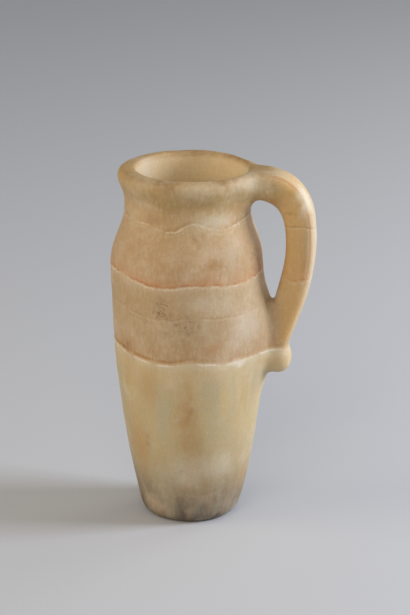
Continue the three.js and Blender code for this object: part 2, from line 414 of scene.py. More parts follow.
joints = pitcher.vertex_groups.new(name="joints")
nearness = []
for vertex in pitcher.data.vertices:
    weight = 0.0
    if vertex.co.x > JOINTS_FROM * MM:
        distances = sorted(tree.find_nearest(vertex.co)[3] for tree in trees)
        weight = smoothstep(1 - (distances[1] / MM - JOINT_FULL) / JOINT_FADE)
    nearness.append(weight)
    if weight > 0:
        joints.add([vertex.index], weight, "REPLACE")
finish_with(pitcher, "SMOOTH", factor=SMOOTHING, iterations=SKIN_PASSES)
finish_with(pitcher, "SMOOTH", factor=SMOOTHING, iterations=JOINT_PASSES, vertex_group="joints")
print("faces of the stone:", len(pitcher.data.polygons))
print("vertices near a joint:", sum(weight > 0 for weight in nearness))

# %% [markdown]
# Hand work shows as a slow unevenness, half a millimetre in and out over a few centimetres, with a finer one
# on top from the rasp. A sculpting brush could give it by hand, and a Displace modifier with a soft cloud
# texture gives it evenly all round. The underside was ground flat to stand, and the drilled hollow gets only
# a little of it. The vertices of the hollow are marked at the same time, for the painted light that makes it
# paler.

# %% Dress the surface
# The width and the depth of each set of waves, in mm.
UNEVENNESS = [(38, 0.9), (13, 0.35)]
HOLLOW_SHARE = 0.3
RING_MARGIN = 2.0
INSIDE_MARGIN = 2.5
FLOOR_MARGIN = 1.0
LIP_FADE = 5.0
FOOT_FLAT = 0.5
FOOT_FADE = 5.0

dressed = pitcher.vertex_groups.new(name="dressed")
hollow = []
for vertex in pitcher.data.vertices:
    height = vertex.co.z / MM
    wall = inside_ring(min(max(height, HOLLOW_FLOOR + RING_MARGIN), RIM_HEIGHT - RING_MARGIN))
    across = (vertex.co.x - wall.x) / (wall.wide + INSIDE_MARGIN * MM)
    along = vertex.co.y / (wall.deep + INSIDE_MARGIN * MM)
    inside = height > HOLLOW_FLOOR - FLOOR_MARGIN and math.hypot(across, along) < 1
    hollow.append(smoothstep((RIM_HEIGHT - height) / LIP_FADE) if inside else 0.0)
    weight = HOLLOW_SHARE if inside else smoothstep((height - FOOT_FLAT) / FOOT_FADE)
    if weight > 0:
        dressed.add([vertex.index], weight, "REPLACE")
for width, depth in UNEVENNESS:
    waves = bpy.data.textures.new("carved_waves", "CLOUDS")
    waves.noise_scale = width * MM
    waves.noise_depth = 1
    finish_with(pitcher, "DISPLACE", texture=waves, texture_coords="LOCAL", strength=depth * MM,
                mid_level=0.5, vertex_group="dressed")
print("vertices in the hollow:", sum(value > 0 for value in hollow))

# %% [markdown]
# Old alabaster has pits where a grain or a softer spot fell out. The ones that can be seen from a step away
# are real dents here, in the loose groups in which they lie on the stone, and a few strays over the rest.
# Chance places them within their group, which looks less laid out than pits set one by one. Each vertex also
# gets a number for how deep in a pit or a joint it lies, which the material turns to brown: dirt in a pit,
# painted shade in the crease of a joint.

# %% Knock in the pits
# A degree of turn is 0.7 to 0.9 mm of the surface, so with 0.7 mm of height to it a group is nearly round.
PitGroup = namedtuple("PitGroup", "degrees height spread count")
PIT_GROUPS = [PitGroup(-103, 156, 9, 7), PitGroup(-83, 147, 8, 6), PitGroup(-138, 126, 5, 2),
              PitGroup(-79, 88, 3, 1), PitGroup(-20, 176, 7, 3), PitGroup(-118, 60, 14, 3),
              PitGroup(-60, 225, 8, 2), PitGroup(60, 130, 30, 5), PitGroup(150, 180, 30, 5),
              PitGroup(110, 70, 30, 4)]
MM_TO_A_DEGREE = 0.7
PIT_WIDTHS = (1.8, 3.0)
PIT_DEPTHS = (0.2, 0.5)
WELL_OUTSIDE = 200.0
JOINT_SHADE = 0.2
PIT_DIRT = 0.35

random.seed(3)
# Near a joint the number is painted shade, which darkens the crease between handle and body. In a pit it is
# dirt.
shade_and_dirt = [JOINT_SHADE * weight for weight in nearness]
skin = KDTree(len(pitcher.data.vertices))
for vertex in pitcher.data.vertices:
    skin.insert(vertex.co, vertex.index)
skin.balance()
surface = face_tree(pitcher.data)
for group in PIT_GROUPS:
    for _ in range(group.count):
        angle = math.radians(group.degrees + random.gauss(0, group.spread))
        aim = Vector((math.cos(angle), math.sin(angle), 0))
        on_axis = UP * (group.height + random.gauss(0, group.spread * MM_TO_A_DEGREE)) * MM
        hit, normal, _, _ = surface.ray_cast(on_axis + aim * WELL_OUTSIDE * MM, -aim)
        width = random.uniform(*PIT_WIDTHS) * MM
        depth = random.uniform(*PIT_DEPTHS) * MM
        for _, index, distance in skin.find_range(hit, width):
            share = smoothstep(1 - distance / width)
            pitcher.data.vertices[index].co -= normal * depth * share
            shade_and_dirt[index] = max(shade_and_dirt[index], PIT_DIRT * share)
print("pits:", sum(group.count for group in PIT_GROUPS))

# %% [markdown]
# Along the handle's rounded outer edge runs a thin ochre line, a painted highlight on its ridge. Outside it
# lies a pale strip, painted light on the outer face, which the main lamp lights. Planes through the object
# can't follow the bar round its bend. So each vertex of the handle gets a number for how far it lies towards
# the outer face: half at that face, nothing in the middle. The mesh also keeps the numbers for dirt in the
# pits and painted shade in the joints, and for the hollow, and the finished piece is handed over as the one
# that stands for the solid.

# %% Number the handle and hand the stone over
HANDLE_FROM = 46.0


def outward_share(co):
    """How far a point lies towards the bar's outer face, as a share of the bar's thickness."""
    flattened = Vector((co.x, 0, co.z))
    nearest = None
    for one, two in zip(sections, sections[1:]):
        along = intersect_point_line(flattened, one.place, two.place)[1]
        gap = flattened - one.place.lerp(two.place, min(max(along, 0), 1))
        if nearest is None or gap.length < nearest[0].length:
            nearest = (gap, one)
    gap, section = nearest
    outward = Vector((-math.cos(section.turn), 0, math.sin(section.turn)))
    return math.copysign(gap.length, gap.dot(outward)) / section.thick


outwards = [outward_share(v.co) if v.co.x > HANDLE_FROM * MM else 0.0 for v in pitcher.data.vertices]
for name, values in (("joint_shade_pit_dirt", shade_and_dirt), ("hollow", hollow), ("outward", outwards)):
    pitcher.data.attributes.new(name, "FLOAT", "POINT").data.foreach_set("value", values)
for polygon in pitcher.data.polygons:
    polygon.use_smooth = True
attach(pitcher, "root")
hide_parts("pitcher")
print("outward shares:", round(min(outwards), 2), "to", round(max(outwards), 2))

# %% [markdown]
# Calcite alabaster formed in layers on the floor of a spring or a cave, so its colours lie in level bands
# that run through body and handle alike, slightly wavy, with fine upright crystals in each band. A painted
# picture would have to be wrapped round the form. A pattern in the object's own coordinates runs through it
# like the real layers. The material works in millimetres. It first finds how high a point lies in the
# layers, which is its height plus their waves, and takes nearly all its colours from that.

# %% Helpers for the materials
def linear(colour):
    """An sRGB hex colour as the linear RGBA that nodes take."""
    parts = [int(colour[i:i + 2], 16) / 255 for i in (1, 3, 5)]
    return [c / 12.92 if c <= 0.04045 else ((c + 0.055) / 1.055) ** 2.4 for c in parts] + [1.0]


def add(tree, kind, inputs, **settings):
    """Adds a node with its settings, and sets or links its inputs; a node stands for its first output."""
    node = tree.nodes.new("ShaderNode" + kind)
    for name, value in settings.items():
        setattr(node, name, value)
    for socket, value in inputs.items():
        if isinstance(value, bpy.types.Node):
            value = value.outputs[0]
        if isinstance(value, bpy.types.NodeSocket):
            tree.links.new(value, node.inputs[socket])
        else:
            node.inputs[socket].default_value = value
    return node


# %% Find the height in the layers
# Each sway of the layers: the length of its waves, the x of a crest, its height, and above which z it acts.
Sway = namedtuple("Sway", "length crest height above")
SWAYS = [Sway(46.0, 11.0, 1.2, 0.0), Sway(31.0, 9.0, 1.8, 198.0)]
SWAY_FADE = 12.0
LEFT_RISE = 3.5
HANDLE_DIP = 3.0
HANDLE_MIDDLE = 69.0
HANDLE_SPREAD = 16.0

stone_look = bpy.data.materials.new("banded_calcite_alabaster_honed")
stone_look.use_nodes = True
veins = stone_look.node_tree
veins.nodes.clear()
coordinates = add(veins, "TexCoord", {})
point = add(veins, "VectorMath", {0: coordinates.outputs["Object"], "Scale": 1 / MM}, operation="SCALE")
point_x, _, point_z = add(veins, "SeparateXYZ", {0: point}).outputs
bed = point_z
for sway in SWAYS:
    phase = add(veins, "Math", {0: point_x, 1: math.tau / sway.length,
                                2: -math.tau * sway.crest / sway.length}, operation="MULTIPLY_ADD")
    wave = add(veins, "Math", {0: phase}, operation="COSINE")
    drop = add(veins, "MapRange", {"Value": point_z, "From Min": sway.above - SWAY_FADE,
                                   "From Max": sway.above, "To Max": -sway.height},
               interpolation_type="SMOOTHSTEP")
    bed = add(veins, "Math", {0: wave, 1: drop, 2: bed}, operation="MULTIPLY_ADD")
rise = add(veins, "MapRange", {"Value": point_x, "From Min": -28.0, "From Max": -48.0, "To Max": LEFT_RISE},
           interpolation_type="SMOOTHSTEP")
bed = add(veins, "Math", {0: bed, 1: rise}, operation="SUBTRACT")
off_handle = add(veins, "Math", {0: point_x, 1: HANDLE_MIDDLE}, operation="SUBTRACT")
off_handle = add(veins, "Math", {0: off_handle}, operation="ABSOLUTE")
on_handle = add(veins, "MapRange", {"Value": off_handle, "From Min": HANDLE_SPREAD, "From Max": 0.0},
                interpolation_type="SMOOTHSTEP")
dip = add(veins, "MapRange", {"Value": point_z, "From Min": 125.0, "From Max": 150.0, "To Max": HANDLE_DIP})
bed = add(veins, "Math", {0: on_handle, 1: dip, 2: bed}, operation="MULTIPLY_ADD")
print("sways of the layers:", len(SWAYS))

# %% Ruffle the layers
ROLL_SIZE = 13.0
ROLL_HEIGHT = 3.0
CRYSTAL_WIDTH = 1.4
CRYSTAL_LENGTH = 13.0
CRYSTAL_JAG = 2.0
RAGGED_SIZE = 3.5
RAGGED_HEIGHT = 3.2
CALM_SHARE = 0.3

roll = add(veins, "TexNoise", {"Vector": point, "Scale": 1 / ROLL_SIZE, "Detail": 4.0, "Roughness": 0.6})
upright = add(veins, "Mapping", {"Vector": point, "Scale": (1 / CRYSTAL_WIDTH, 1 / CRYSTAL_WIDTH,
                                                           1 / CRYSTAL_LENGTH)})
crystals = add(veins, "TexNoise", {"Vector": upright, "Scale": 1.0, "Detail": 3.0, "Roughness": 0.65})
ragged = add(veins, "TexNoise", {"Vector": point, "Scale": 1 / RAGGED_SIZE, "Detail": 3.0, "Roughness": 0.6})
# The layers are calm in the lower half and ragged above it.
rougher = add(veins, "MapRange", {"Value": point_z, "From Min": 128.0, "From Max": 160.0,
                                  "To Min": CALM_SHARE})
for pattern, swing, share in ((roll, ROLL_HEIGHT, 1.0), (crystals, CRYSTAL_JAG, rougher),
                              (ragged, RAGGED_HEIGHT, rougher)):
    swinging = add(veins, "Math", {0: pattern, 1: swing, 2: -swing / 2}, operation="MULTIPLY_ADD")
    bed = add(veins, "Math", {0: swinging, 1: share, 2: bed}, operation="MULTIPLY_ADD")
print("nodes for the layers:", len(veins.nodes))

# %% [markdown]
# Each band's colour stands in one ramp over the height. A stack of mixed colours would do the same with many
# more nodes. The heights are those of the bands on the real pitcher, in millimetres from the foot: a brownish
# foot, darkened further towards the floor by painted shade, a long cream length, a white band, tan between
# the two orange lines, ochre under the lip.

# %% Colour the bands
RAMP_TOP = 250.0
# The lowest stops, up to 32 mm, lay painted shade over the foot's own brown, darker towards the floor it
# stands on.
BANDS = [(0, "#4c4036"), (9, "#6b5c4a"), (20, "#8b7960"), (32, "#a79473"), (45, "#bca880"), (70, "#c5ae7f"),
         (96, "#c9b181"), (113, "#ccb385"), (115.5, "#cfba92"), (117.8, "#d3bf99"), (119.6, "#c8a87c"),
         (122, "#bd9a70"), (136, "#bc9e75"), (150, "#bc9f76"), (166, "#bd9f76"), (171, "#c6ab84"),
         (173.5, "#c29667"), (179, "#be9a70"), (190, "#be9d72"), (206, "#c1a174"), (212, "#c0a073"),
         (219, "#bc9a69"), (224, "#b1915c"), (229, "#b1925c"), (234, "#b59764"), (238, "#b08f5c"),
         (241, "#9f7e4b")]

ramp_place = add(veins, "Math", {0: bed, 1: 1 / RAMP_TOP}, operation="MULTIPLY")
bands = add(veins, "ValToRGB", {0: ramp_place})
stops = bands.color_ramp.elements
stops[0].color = linear(BANDS[0][1])
stops.remove(stops[1])
for height, colour in BANDS[1:]:
    stops.new(height / RAMP_TOP).color = linear(colour)
look = bands.outputs["Color"]
print("bands:", len(stops))

# %% [markdown]
# Within a band the stone is cloudy: paler where it is full of tiny bubbles, ochre where iron came in. Below
# the white band the clouds are drawn out upright, greenish grey and honey. The crystals themselves show as
# fine upright flecks. Real ones are some tenths of a millimetre wide, drawn here at over two millimetres so
# that they show. Noise over the point's place gives each of them, stretched upright where the clouds are.

# %% Cloud the stone
PALE_CLOUD = "#dccdb0"
OCHRE_CLOUD = "#a9834d"
PALE_SIZE = 24.0
OCHRE_SIZE = 17.0
OCHRE_SHIFT = (310.0, 40.0, 90.0)
FLECK_WIDTH = 2.2
FLECK_LENGTH = 5.0

pale_noise = add(veins, "TexNoise", {"Vector": point, "Scale": 1 / PALE_SIZE, "Detail": 5.0,
                                     "Roughness": 0.6})
pale = add(veins, "MapRange", {"Value": pale_noise, "From Min": 0.48, "From Max": 0.74, "To Max": 0.45})
look = add(veins, "MixRGB", {"Fac": pale, "Color1": look, "Color2": linear(PALE_CLOUD)})

shifted = add(veins, "VectorMath", {0: point, 1: OCHRE_SHIFT}, operation="ADD")
ochre_noise = add(veins, "TexNoise", {"Vector": shifted, "Scale": 1 / OCHRE_SIZE, "Detail": 5.0,
                                      "Roughness": 0.65})
ochre = add(veins, "MapRange", {"Value": ochre_noise, "From Min": 0.48, "From Max": 0.76, "To Max": 0.38})
above_white = add(veins, "MapRange", {"Value": bed, "From Min": 112.0, "From Max": 122.0, "To Min": 0.5})
ochre = add(veins, "Math", {0: ochre, 1: above_white}, operation="MULTIPLY")
look = add(veins, "MixRGB", {"Fac": ochre, "Color1": look, "Color2": linear(OCHRE_CLOUD)})

fleck_place = add(veins, "Mapping", {"Vector": point, "Scale": (1 / FLECK_WIDTH, 1 / FLECK_WIDTH,
                                                               1 / FLECK_LENGTH)})
fleck_noise = add(veins, "TexNoise", {"Vector": fleck_place, "Scale": 1.0, "Detail": 3.0, "Roughness": 0.6})
fleck = add(veins, "MapRange", {"Value": fleck_noise, "From Min": 0.48, "From Max": 0.7, "To Max": 0.2})
fleck = add(veins, "Math", {0: fleck, 1: above_white}, operation="MULTIPLY")
look = add(veins, "MixRGB", {"Fac": fleck, "Color1": look, "Color2": linear(PALE_CLOUD)})
print("nodes with the clouds:", len(veins.nodes))

# %% Draw out the lower clouds
GREY_STREAK = "#b3a888"
HONEY_STREAK = "#b78f55"
STREAK_WIDTH = 15.0
STREAK_LENGTH = 75.0

drawn = add(veins, "Mapping", {"Vector": point, "Scale": (1 / STREAK_WIDTH, 1 / STREAK_WIDTH,
                                                         1 / STREAK_LENGTH)})
streaks = add(veins, "TexNoise", {"Vector": drawn, "Scale": 1.0, "Detail": 3.0, "Roughness": 0.5})
below_white = add(veins, "MapRange", {"Value": bed, "From Min": 114.0, "From Max": 100.0},
                  interpolation_type="SMOOTHSTEP")
for empty, full, colour in ((0.5, 0.36, GREY_STREAK), (0.52, 0.68, HONEY_STREAK)):
    streak = add(veins, "MapRange", {"Value": streaks, "From Min": empty, "From Max": full, "To Max": 0.45})
    streak = add(veins, "Math", {0: streak, 1: below_white}, operation="MULTIPLY")
    look = add(veins, "MixRGB", {"Fac": streak, "Color1": look, "Color2": linear(colour)})
print("nodes with the streaks:", len(veins.nodes))

# %% [markdown]
# The handle is thin enough for light to pass, which makes it a deeper honey than the body, except along its
# outer face and on the knob. The outer face gets a pale colour instead, painted light where the main lamp
# falls on it. The hollow is painted pale too: painted light for the light that falls into the mouth and comes
# through its thin wall. All are one stone, so they stay one material, with masks by place and by the hollow's
# number instead of separate materials.

# %% Warm the handle, and paint light on its outer face and into the hollow
HANDLE_HONEY = "#d8aa60"
OUTER_FACE_LIGHT_PALE = "#d5c7aa"
HOLLOW_LIGHT_PALE = "#e7d0a4"
HOLLOW_LIGHT_STRENGTH = 0.7

in_handle = add(veins, "MapRange", {"Value": point_x, "From Min": 57.0, "From Max": 65.0})
in_body = add(veins, "Math", {0: 1.0, 1: in_handle}, operation="SUBTRACT")
# The honey thins out towards the outer face, where the main lamp falls, to make room for painted light.
honey_before_lit_face = add(veins, "MapRange", {"Value": point_x, "From Min": 72.0, "From Max": 80.0, "To Min": 0.6,
                                    "To Max": 0.1}, interpolation_type="SMOOTHSTEP")
over_knob = add(veins, "MapRange", {"Value": point_z, "From Min": 116.0, "From Max": 128.0})
warm = add(veins, "Math", {0: in_handle, 1: honey_before_lit_face}, operation="MULTIPLY")
warm = add(veins, "Math", {0: warm, 1: over_knob}, operation="MULTIPLY")
look = add(veins, "MixRGB", {"Fac": warm, "Color1": look, "Color2": linear(HANDLE_HONEY)})
# Painted light: the outer face is made pale where the main lamp falls on it.
lit_outer_face = add(veins, "MapRange", {"Value": point_x, "From Min": 77.0, "From Max": 82.0, "To Max": 0.3},
                 interpolation_type="SMOOTHSTEP")
look = add(veins, "MixRGB", {"Fac": lit_outer_face, "Color1": look, "Color2": linear(OUTER_FACE_LIGHT_PALE)})
# Painted light: the hollow is made pale for the light that falls into the mouth and comes through the wall.
hollow_value = add(veins, "Attribute", {}, attribute_name="hollow")
lit_hollow = add(veins, "Math", {0: hollow_value.outputs["Fac"], 1: HOLLOW_LIGHT_STRENGTH}, operation="MULTIPLY")
look = add(veins, "MixRGB", {"Fac": lit_hollow, "Color1": look, "Color2": linear(HOLLOW_LIGHT_PALE)})
print("nodes with handle and hollow:", len(veins.nodes))

# %% [markdown]
# Thin lines part the bands, each the trace of a pause in which iron or clean white calcite settled. They
# swell, fade and break off, which a noise over the whole set does. Above the upper orange line the colour
# climbs into the crystals like small flames. Some lines only show in the handle. In the colour ramp such
# lines would all run on unbroken, so each is a mix of its own, made by one loop.

# %% Draw the thin lines
# A line lies at a height in the layers and fades out over some mm above and below it.
Line = namedtuple("Line", "height above below colour strength where")
to_left = add(veins, "MapRange", {"Value": point_x, "From Min": 14.0, "From Max": -8.0, "To Min": 0.4})
LINES = [Line(171.4, 1.0, 1.3, "#e8d9be", 0.5, in_body), Line(173.0, 8.0, 0.5, "#c58a5c", 0.5, crystals),
         Line(173.2, 1.0, 0.9, "#bd713d", 0.78, in_body), Line(171.4, 1.4, 1.0, "#c4803f", 0.75, in_handle),
         Line(169.1, 1.0, 1.2, "#d9c6a0", 0.5, in_handle), Line(121.3, 2.0, 1.5, "#ae7c3a", 0.85, to_left),
         Line(118.5, 1.1, 1.3, "#f2e8d6", 0.6, in_body), Line(151.0, 0.8, 1.0, "#a98048", 0.4, in_body),
         Line(149.2, 0.8, 0.8, "#d9c7a4", 0.3, in_body), Line(208.6, 1.0, 1.2, "#e6dabd", 0.55, in_body),
         Line(209.9, 3.2, 0.8, "#a97e4b", 0.45, in_body), Line(206.3, 0.7, 0.8, "#ddcba4", 0.3, in_body),
         Line(214.8, 1.0, 1.0, "#b3854a", 0.45, in_handle), Line(206.6, 0.8, 0.9, "#a07a4c", 0.6, in_handle),
         Line(205.0, 0.8, 1.0, "#dcc69a", 0.5, in_handle)]
BREAK_SIZE = 9.0

breaks = add(veins, "TexNoise", {"Vector": point, "Scale": 1 / BREAK_SIZE, "Detail": 3.0, "Roughness": 0.6})
unbroken = add(veins, "MapRange", {"Value": breaks, "From Min": 0.4, "From Max": 0.57, "To Min": 0.05})
for line in LINES:
    off = add(veins, "Math", {0: bed, 1: line.height}, operation="SUBTRACT")
    from_above = add(veins, "MapRange", {"Value": off, "From Min": line.above, "From Max": 0.0,
                                         "To Max": line.strength}, interpolation_type="SMOOTHSTEP")
    from_below = add(veins, "MapRange", {"Value": off, "From Min": -line.below, "From Max": 0.0},
                     interpolation_type="SMOOTHSTEP")
    mask = add(veins, "Math", {0: from_above, 1: from_below}, operation="MULTIPLY")
    mask = add(veins, "Math", {0: mask, 1: unbroken}, operation="MULTIPLY")
    mask = add(veins, "Math", {0: mask, 1: line.where}, operation="MULTIPLY")
    look = add(veins, "MixRGB", {"Fac": mask, "Color1": look, "Color2": linear(line.colour)})
print("thin lines:", len(LINES))

# %% [markdown]
# The painted ochre highlight and the painted pale strip of light along the handle's edges follow the number
# that each vertex got for its place between the middle and the outer face. They start where the bar leaves
# the lip. The highlight fades lower down, and the strip of light runs on to the knob.

# %% Paint the highlight and the light along the handle's edges
# Places and widths are shares of the bar's thickness, as the vertices' numbers are.
RIDGE_HIGHLIGHT_OCHRE = "#b87c3c"
LIT_STRIP_PALE = "#dccaa6"
RIDGE_HIGHLIGHT_PLACE = 0.36
RIDGE_HIGHLIGHT_AT_TOP = 0.44
RIDGE_HIGHLIGHT_HALF_WIDTH = 0.045
LIT_STRIP_START = 0.36
LIT_STRIP_FULL = 0.46

outward_value = add(veins, "Attribute", {}, attribute_name="outward")
to_outer_face = outward_value.outputs["Fac"]
off_lip = add(veins, "MapRange", {"Value": point_x, "From Min": 50.0, "From Max": 57.0})
# Painted light: a pale strip on the outer face, which the main lamp lights.
lit_strip = add(veins, "MapRange", {"Value": to_outer_face, "From Min": LIT_STRIP_START, "From Max": LIT_STRIP_FULL,
                                "To Max": 0.35}, interpolation_type="SMOOTHSTEP")
down_to_knob = add(veins, "MapRange", {"Value": point_z, "From Min": 112.0, "From Max": 140.0})
lit_strip = add(veins, "Math", {0: lit_strip, 1: off_lip}, operation="MULTIPLY")
lit_strip = add(veins, "Math", {0: lit_strip, 1: down_to_knob}, operation="MULTIPLY")
look = add(veins, "MixRGB", {"Fac": lit_strip, "Color1": look, "Color2": linear(LIT_STRIP_PALE)})

# Painted highlight: an ochre line along the ridge of the handle.
line_place = add(veins, "MapRange", {"Value": point_z, "From Min": 215.0, "From Max": 236.0,
                                     "To Min": RIDGE_HIGHLIGHT_PLACE, "To Max": RIDGE_HIGHLIGHT_AT_TOP})
beside = add(veins, "Math", {0: to_outer_face, 1: line_place}, operation="SUBTRACT")
beside = add(veins, "Math", {0: beside}, operation="ABSOLUTE")
ridge_highlight = add(veins, "MapRange", {"Value": beside, "From Min": RIDGE_HIGHLIGHT_HALF_WIDTH, "From Max": 0.0,
                                    "To Max": 0.65}, interpolation_type="SMOOTHSTEP")
fading = add(veins, "MapRange", {"Value": point_z, "From Min": 150.0, "From Max": 200.0})
ridge_highlight = add(veins, "Math", {0: ridge_highlight, 1: off_lip}, operation="MULTIPLY")
ridge_highlight = add(veins, "Math", {0: ridge_highlight, 1: fading}, operation="MULTIPLY")
look = add(veins, "MixRGB", {"Fac": ridge_highlight, "Color1": look, "Color2": linear(RIDGE_HIGHLIGHT_OCHRE)})
print("nodes with the edges:", len(veins.nodes))

# %% [markdown]
# A few stains and white patches belong to this very stone: honey and grey-green up the front, ochre spots on
# the shoulder. Others in the same list are painted light and shade: painted light on the handle's bend and
# root, on the left of the hollow's wall and on the left of the foot, painted shade under the lip, on the
# right shoulder and at the bottom of the foot, and the painted shadow of the handle on the body. Further ones
# make the neck's front and the lip's front paler, and the rim's top at the back darker. They could be painted
# on by hand as vertex colours, but only as finely as the mesh is. Here each is a soft blob at its place, with
# a wavy edge.

# %% Lay on the stains and the painted light and shade
# A blob's place and half sizes are in mm.
StainOrPaintedLight = namedtuple("StainOrPaintedLight", "x y z wide tall colour strength")
STAINS_AND_PAINTED_LIGHT = [StainOrPaintedLight(5, -48, 83, 7, 12, "#b58144", 0.6), StainOrPaintedLight(4, -48, 98, 6, 8, "#b98c50", 0.2),
          StainOrPaintedLight(2, -46, 62, 7, 14, "#b98f58", 0.15), StainOrPaintedLight(-11, -46, 78, 6, 30, "#b9b092", 0.6),
          StainOrPaintedLight(-30, -32, 55, 13, 26, "#bd8f50", 0.5), StainOrPaintedLight(-20, -46, 102, 10, 16, "#b98c50", 0.35),
          StainOrPaintedLight(23, -43, 187, 6, 5, "#a97c3e", 0.65), StainOrPaintedLight(11, -42, 201, 6, 4, "#ab8145", 0.5),
          StainOrPaintedLight(-20, -38, 214, 12, 6, "#b08348", 0.5), StainOrPaintedLight(23, -45, 130, 9, 6, "#b57f48", 0.4),
          StainOrPaintedLight(5, -51, 130, 5, 6, "#ab7c48", 0.35), StainOrPaintedLight(-36, -37, 126, 8, 10, "#b07b4c", 0.35),
          # The next two make the neck's front and the lip's front paler.
          StainOrPaintedLight(22, -35, 213, 16, 8, "#d8ccb0", 0.55), StainOrPaintedLight(4, -45, 237, 14, 5, "#cbbd9c", 0.25),
          # The next two are painted light: pale where the main lamp falls on the handle's bend and on its
          # root.
          StainOrPaintedLight(77, -8, 224, 8, 15, "#e6dabf", 0.75), StainOrPaintedLight(44, -18, 234, 11, 9, "#dccbab", 0.6),
          StainOrPaintedLight(42, -28, 140, 15, 14, "#dccdb6", 0.45), StainOrPaintedLight(20, -47, 162, 16, 8, "#d0c0a2", 0.3),
          # The second on the next line is painted shadow: the handle's shadow on the body beside it.
          StainOrPaintedLight(38, -32, 117, 9, 3, "#f4ecdf", 0.35), StainOrPaintedLight(48, -9, 181, 6, 14, "#a5815a", 0.25),
          # The first on the next line is painted shade under the overhang of the lip.
          StainOrPaintedLight(18, -40, 226, 30, 5, "#a58a4e", 0.2), StainOrPaintedLight(-28, -30, 213, 10, 7, "#cfb68c", 0.4),
          # The second on the next line makes the rim's top at the back darker.
          StainOrPaintedLight(-43, -12, 236, 14, 8, "#c79b58", 0.4), StainOrPaintedLight(0, 44, 241, 30, 5, "#98794a", 0.35),
          # The first on the next line is painted light on the left of the hollow's wall, where the main lamp
          # shines into the mouth.
          StainOrPaintedLight(-33, 15, 232, 12, 9, "#e4d8c6", 0.35), StainOrPaintedLight(6, -40, 42, 14, 14, "#d3c8b2", 0.35),
          # The second on the next line is painted light that lifts the shaded left of the foot.
          StainOrPaintedLight(24, -33, 43, 13, 12, "#d9ceb6", 0.35), StainOrPaintedLight(-19, -28, 11, 12, 9, "#c4ab8c", 0.6),
          # The first on the next line is painted shade that dulls the right shoulder where the main lamp
          # falls.
          StainOrPaintedLight(33, -32, 190, 12, 12, "#a58760", 0.3), StainOrPaintedLight(57, -9, 221, 8, 4, "#bd7c40", 0.35),
          # The last is painted shade at the bottom of the foot, where it stands on the floor.
          StainOrPaintedLight(12, -32, 5, 8, 9, "#4c4036", 0.35)]
SWIRL_SIZE = 8.0
SWIRL_REACH = 14.0
EDGE_OUT = 1.3
EDGE_IN = 0.2

swirl_noise = add(veins, "TexNoise", {"Vector": point, "Scale": 1 / SWIRL_SIZE, "Detail": 3.0,
                                      "Roughness": 0.6})
swirl = add(veins, "VectorMath", {0: swirl_noise.outputs["Color"], 1: (0.5, 0.5, 0.5)}, operation="SUBTRACT")
swirl = add(veins, "VectorMath", {0: swirl, "Scale": SWIRL_REACH}, operation="SCALE")
swirled = add(veins, "VectorMath", {0: point, 1: swirl}, operation="ADD")
for patch in STAINS_AND_PAINTED_LIGHT:
    scale = Vector((1 / patch.wide, 1 / patch.wide, 1 / patch.tall))
    shift = Vector((-patch.x, -patch.y, -patch.z)) * scale
    from_middle = add(veins, "Mapping", {"Vector": swirled, "Scale": scale, "Location": shift})
    distance = add(veins, "VectorMath", {0: from_middle}, operation="LENGTH")
    mask = add(veins, "MapRange", {"Value": distance.outputs["Value"], "From Min": EDGE_OUT,
                                   "From Max": EDGE_IN, "To Max": patch.strength},
               interpolation_type="SMOOTHSTEP")
    look = add(veins, "MixRGB", {"Fac": mask, "Color1": look, "Color2": linear(patch.colour)})
print("stains:", len(STAINS_AND_PAINTED_LIGHT))

# %% [markdown]
# Small pits of a millimetre or two hold brown dirt. Too many to model, they come from cells of a Voronoi
# pattern, of which only a few are used: in the clusters that the stone has on its front, and sparsely all
# over. In the clusters they run together into thin curls, which are the places where a slow noise crosses
# its middle value.

# %% Find the clusters and their pits
# Each cluster has its middle and its radius in mm.
PIT_CLUSTERS = [(-11, -51, 157, 6.5), (6, -51, 146, 6), (-38, -35, 126, 4), (9, -47, 95, 2),
                (19, -40, 230, 2), (20, -44, 66, 3), (48, -11, 182, 7), (-14, 48, 150, 14),
                (30, 40, 196, 10)]
PIT_CELL = 2.4
STRAY_SHARE = 0.0008
CLUSTER_SHARE = 0.3
CLUSTER_OUT = 1.4
CLUSTER_IN = 0.6

clustered = None
for x, y, z, radius in PIT_CLUSTERS:
    away = add(veins, "VectorMath", {0: point, 1: (x, y, z)}, operation="DISTANCE")
    near = add(veins, "MapRange", {"Value": away.outputs["Value"], "From Min": radius * CLUSTER_OUT,
                                   "From Max": radius * CLUSTER_IN})
    if clustered is None:
        clustered = near
    else:
        clustered = add(veins, "Math", {0: clustered, 1: near}, operation="MAXIMUM")
cells = add(veins, "TexVoronoi", {"Vector": swirled, "Scale": 1 / PIT_CELL})
chance = add(veins, "SeparateColor", {0: cells.outputs["Color"]})
left_out = add(veins, "MapRange", {"Value": clustered, "To Min": 1 - STRAY_SHARE,
                                   "To Max": 1 - CLUSTER_SHARE})
chosen = add(veins, "Math", {0: chance, 1: left_out}, operation="GREATER_THAN")
pit = add(veins, "MapRange", {"Value": cells.outputs["Distance"], "From Min": 0.42, "From Max": 0.16})
pit = add(veins, "Math", {0: pit, 1: chosen}, operation="MULTIPLY")
print("clusters of pits:", len(PIT_CLUSTERS))

# %% Curl the pits together, dirty them and paint shade into the joints
PIT_DIRT_AND_SHADE_BROWN = "#77583a"
DENT_AND_JOINT_STRENGTH = 0.55
PIT_STRENGTH = 0.6
CURL_SIZE = 4.0

